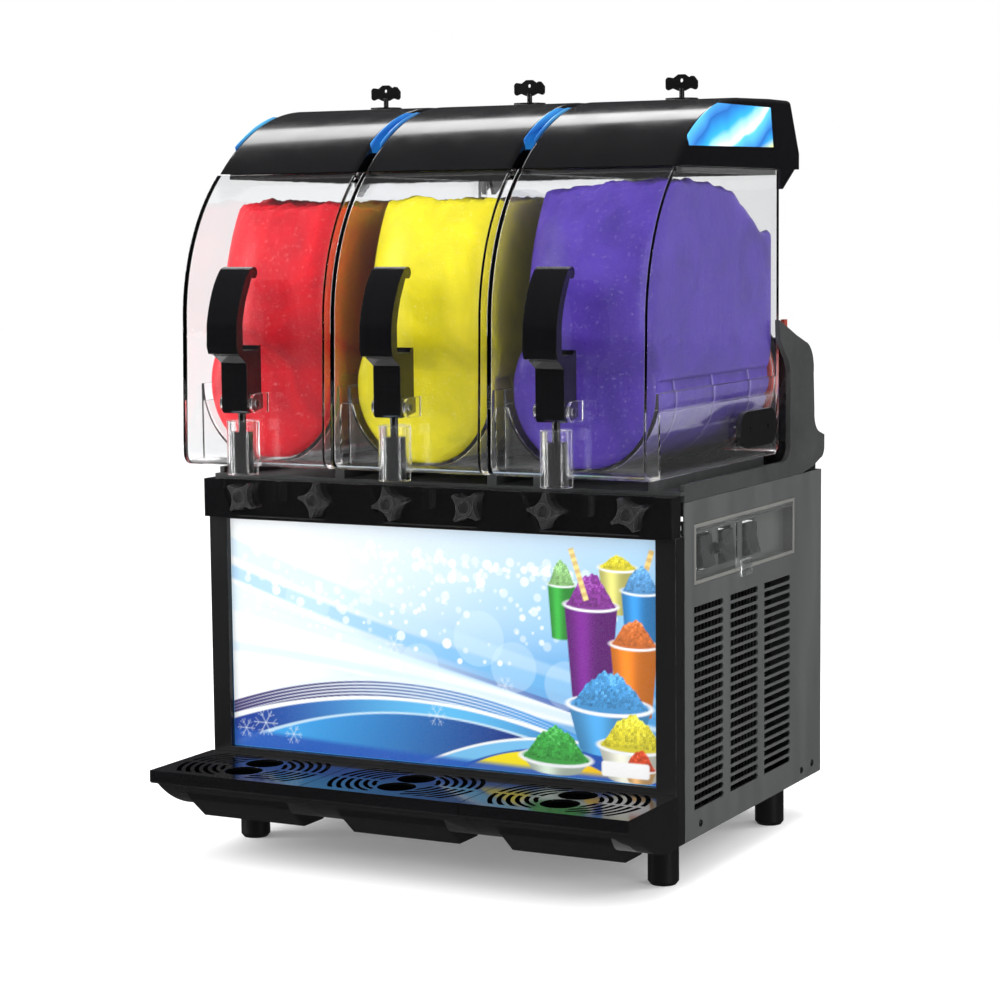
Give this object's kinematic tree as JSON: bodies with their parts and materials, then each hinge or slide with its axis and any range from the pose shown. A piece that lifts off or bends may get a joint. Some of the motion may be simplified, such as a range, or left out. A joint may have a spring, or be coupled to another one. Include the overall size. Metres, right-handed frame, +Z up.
{
  "type": "slush machine",
  "caption": "Countertop frozen drink machine with clear arched bowls side by side, black lids and lever taps, a backlit front picture, drip trays and a louvred cabinet.",
  "frame": {"origin": "on the counter, under the middle of the whole machine's box", "axes": "+X the operator's right seen from the front, +Y the back, +Z up"},
  "size_m": [0.605, 0.59, 0.9012],
  "materials": {
    "black_gloss_plastic": "smooth moulded",
    "black_satin_plastic": "satin moulded",
    "grained_grey_plastic": "fine grained",
    "black_painted_sheet": "satin powder coat",
    "clear_bowl_plastic": "clear polished",
    "smoked_flap_plastic": "clear",
    "backlit_picture": "printed translucent",
    "white_plastic": "matte",
    "auger_plastic": "food grade",
    "stainless": "brushed",
    "red_silicone": "soft",
    "red_contact_plastic": "matte",
    "black_rubber": "satin",
    "compressor_paint": "gloss enamel",
    "condenser_fins": "plain",
    "motor_casting": "cast",
    "grey_switch_panel": "matte",
    "plated_screw": "blackened"
  },
  "bodies": {
    "root": {"base_pan": "black_painted_sheet", "feet": "black_rubber", "front_frame": "black_painted_sheet", "graphic_panel": "backlit_picture", "light_box": "white_plastic", "left_side_panel": "black_painted_sheet", "right_side_panel": "black_painted_sheet", "rear_panel": "black_painted_sheet", "power_inlet": "black_satin_plastic", "control_box": "grey_switch_panel", "front_beam": "black_gloss_plastic", "deck_housing": "grained_grey_plastic", "bowl_bulkhead": "black_satin_plastic", "rear_cover": "grained_grey_plastic", "light_contacts": "red_contact_plastic", "screws": "plated_screw", "compressor": "compressor_paint", "condenser": "condenser_fins", "fan_motor": "motor_casting", "evaporator_drums": "stainless", "bowl_gaskets": "red_silicone", "gear_motors": "motor_casting"},
    "bowl_left": {"bowl_left": "clear_bowl_plastic"},
    "lid_left": {"lid_left": "black_gloss_plastic"},
    "key_left": {"lock_key_left": "black_satin_plastic"},
    "lever_left": {"tap_lever_left": "black_satin_plastic"},
    "piston_left": {"tap_piston_left": "black_gloss_plastic"},
    "auger_left": {"auger_left": "auger_plastic"},
    "tray_left": {"drip_tray_left": "black_gloss_plastic"},
    "grille_left": {"tray_grille_left": "black_gloss_plastic"},
    "knob_1": {"star_knob_1": "black_satin_plastic"},
    "knob_2": {"star_knob_2": "black_satin_plastic"},
    "bowl_centre": {"bowl_centre": "clear_bowl_plastic"},
    "lid_centre": {"lid_centre": "black_gloss_plastic"},
    "key_centre": {"lock_key_centre": "black_satin_plastic"},
    "lever_centre": {"tap_lever_centre": "black_satin_plastic"},
    "piston_centre": {"tap_piston_centre": "black_gloss_plastic"},
    "auger_centre": {"auger_centre": "auger_plastic"},
    "tray_centre": {"drip_tray_centre": "black_gloss_plastic"},
    "grille_centre": {"tray_grille_centre": "black_gloss_plastic"},
    "knob_3": {"star_knob_3": "black_satin_plastic"},
    "knob_4": {"star_knob_4": "black_satin_plastic"},
    "bowl_right": {"bowl_right": "clear_bowl_plastic", "side_bumper": "black_rubber"},
    "lid_right": {"lid_right": "black_gloss_plastic"},
    "key_right": {"lock_key_right": "black_satin_plastic"},
    "lever_right": {"tap_lever_right": "black_satin_plastic"},
    "piston_right": {"tap_piston_right": "black_gloss_plastic"},
    "auger_right": {"auger_right": "auger_plastic"},
    "tray_right": {"drip_tray_right": "black_gloss_plastic"},
    "grille_right": {"tray_grille_right": "black_gloss_plastic"},
    "knob_5": {"star_knob_5": "black_satin_plastic"},
    "knob_6": {"star_knob_6": "black_satin_plastic"},
    "fan": {"condenser_fan": "black_satin_plastic"},
    "flap": {"control_flap": "smoked_flap_plastic"},
    "power_rocker": {"power_rocker": "black_satin_plastic"},
    "mixer_rocker": {"mixer_rocker": "black_satin_plastic"},
    "light_rocker": {"light_rocker": "black_satin_plastic"},
    "knob": {"thermostat_knob": "black_satin_plastic"}
  },
  "joints": [
    {"name": "bowl_left_slide", "type": "slide", "parent": "root", "child": "bowl_left", "axis": [0, -1, 0], "range_m": [0, 0.36]},
    {"name": "lid_left_lift", "type": "slide", "parent": "bowl_left", "child": "lid_left", "axis": [0, 0, 1], "range_m": [0, 0.12]},
    {"name": "key_left_turn", "type": "hinge", "parent": "lid_left", "child": "key_left", "pos_m": [-0.198, 0.092, 0.878], "axis": [0, 0, 1], "range_deg": [0, 90]},
    {"name": "lever_left_pull", "type": "hinge", "parent": "bowl_left", "child": "lever_left", "pos_m": [-0.198, -0.246, 0.532], "axis": [1, 0, 0], "range_deg": [0, 25], "stiffness_Nm_per_rad": 0.4, "springref_deg": -5.73},
    {"name": "piston_left_rise", "type": "slide", "parent": "bowl_left", "child": "piston_left", "axis": [0, 0, 1], "range_m": [0, 0.016]},
    {"name": "auger_left_spin", "type": "hinge", "parent": "root", "child": "auger_left", "pos_m": [-0.198, 0, 0.549], "axis": [0, 1, 0], "continuous": true},
    {"name": "tray_left_slide", "type": "slide", "parent": "root", "child": "tray_left", "axis": [0, -1, 0], "range_m": [0, 0.15]},
    {"name": "grille_left_lift", "type": "slide", "parent": "tray_left", "child": "grille_left", "axis": [0, 0, 1], "range_m": [0, 0.06]},
    {"name": "knob_1_turn", "type": "hinge", "parent": "root", "child": "knob_1", "pos_m": [-0.248, -0.17, 0.416], "axis": [0, 1, 0], "continuous": true},
    {"name": "knob_2_turn", "type": "hinge", "parent": "root", "child": "knob_2", "pos_m": [-0.148, -0.17, 0.416], "axis": [0, 1, 0], "continuous": true},
    {"name": "bowl_centre_slide", "type": "slide", "parent": "root", "child": "bowl_centre", "axis": [0, -1, 0], "range_m": [0, 0.36]},
    {"name": "lid_centre_lift", "type": "slide", "parent": "bowl_centre", "child": "lid_centre", "axis": [0, 0, 1], "range_m": [0, 0.12]},
    {"name": "key_centre_turn", "type": "hinge", "parent": "lid_centre", "child": "key_centre", "pos_m": [0, 0.092, 0.878], "axis": [0, 0, 1], "range_deg": [0, 90]},
    {"name": "lever_centre_pull", "type": "hinge", "parent": "bowl_centre", "child": "lever_centre", "pos_m": [0, -0.246, 0.532], "axis": [1, 0, 0], "range_deg": [0, 25], "stiffness_Nm_per_rad": 0.4, "springref_deg": -5.73},
    {"name": "piston_centre_rise", "type": "slide", "parent": "bowl_centre", "child": "piston_centre", "axis": [0, 0, 1], "range_m": [0, 0.016]},
    {"name": "auger_centre_spin", "type": "hinge", "parent": "root", "child": "auger_centre", "pos_m": [0, 0, 0.549], "axis": [0, 1, 0], "continuous": true},
    {"name": "tray_centre_slide", "type": "slide", "parent": "root", "child": "tray_centre", "axis": [0, -1, 0], "range_m": [0, 0.15]},
    {"name": "grille_centre_lift", "type": "slide", "parent": "tray_centre", "child": "grille_centre", "axis": [0, 0, 1], "range_m": [0, 0.06]},
    {"name": "knob_3_turn", "type": "hinge", "parent": "root", "child": "knob_3", "pos_m": [-0.05, -0.17, 0.416], "axis": [0, 1, 0], "continuous": true},
    {"name": "knob_4_turn", "type": "hinge", "parent": "root", "child": "knob_4", "pos_m": [0.05, -0.17, 0.416], "axis": [0, 1, 0], "continuous": true},
    {"name": "bowl_right_slide", "type": "slide", "parent": "root", "child": "bowl_right", "axis": [0, -1, 0], "range_m": [0, 0.36]},
    {"name": "lid_right_lift", "type": "slide", "parent": "bowl_right", "child": "lid_right", "axis": [0, 0, 1], "range_m": [0, 0.12]},
    {"name": "key_right_turn", "type": "hinge", "parent": "lid_right", "child": "key_right", "pos_m": [0.198, 0.092, 0.878], "axis": [0, 0, 1], "range_deg": [0, 90]},
    {"name": "lever_right_pull", "type": "hinge", "parent": "bowl_right", "child": "lever_right", "pos_m": [0.198, -0.246, 0.532], "axis": [1, 0, 0], "range_deg": [0, 25], "stiffness_Nm_per_rad": 0.4, "springref_deg": -5.73},
    {"name": "piston_right_rise", "type": "slide", "parent": "bowl_right", "child": "piston_right", "axis": [0, 0, 1], "range_m": [0, 0.016]},
    {"name": "auger_right_spin", "type": "hinge", "parent": "root", "child": "auger_right", "pos_m": [0.198, 0, 0.549], "axis": [0, 1, 0], "continuous": true},
    {"name": "tray_right_slide", "type": "slide", "parent": "root", "child": "tray_right", "axis": [0, -1, 0], "range_m": [0, 0.15]},
    {"name": "grille_right_lift", "type": "slide", "parent": "tray_right", "child": "grille_right", "axis": [0, 0, 1], "range_m": [0, 0.06]},
    {"name": "knob_5_turn", "type": "hinge", "parent": "root", "child": "knob_5", "pos_m": [0.148, -0.17, 0.416], "axis": [0, 1, 0], "continuous": true},
    {"name": "knob_6_turn", "type": "hinge", "parent": "root", "child": "knob_6", "pos_m": [0.248, -0.17, 0.416], "axis": [0, 1, 0], "continuous": true},
    {"name": "fan_spin", "type": "hinge", "parent": "root", "child": "fan", "pos_m": [0.2, 0.04, 0.19], "axis": [1, 0, 0], "continuous": true},
    {"name": "flap_open", "type": "hinge", "parent": "root", "child": "flap", "pos_m": [0.2985, 0.04, 0.394], "axis": [0, -1, 0], "range_deg": [0, 100]},
    {"name": "power_rocker_tilt", "type": "hinge", "parent": "root", "child": "power_rocker", "pos_m": [0.288, -0.058, 0.365], "axis": [0, 1, 0], "range_deg": [0, 16]},
    {"name": "mixer_rocker_tilt", "type": "hinge", "parent": "root", "child": "mixer_rocker", "pos_m": [0.288, 0.004, 0.365], "axis": [0, 1, 0], "range_deg": [0, 16]},
    {"name": "light_rocker_tilt", "type": "hinge", "parent": "root", "child": "light_rocker", "pos_m": [0.288, 0.076, 0.365], "axis": [0, 1, 0], "range_deg": [0, 16]},
    {"name": "thermostat_turn", "type": "hinge", "parent": "root", "child": "knob", "pos_m": [0.29, -0.029, 0.365], "axis": [1, 0, 0], "range_deg": [0, 270]}
  ],
  "couplings": [
    {"joint": "piston_left_rise", "follows": "lever_left_pull", "m_per_rad": 0.0366},
    {"joint": "piston_centre_rise", "follows": "lever_centre_pull", "m_per_rad": 0.0366},
    {"joint": "piston_right_rise", "follows": "lever_right_pull", "m_per_rad": 0.0366}
  ]
}
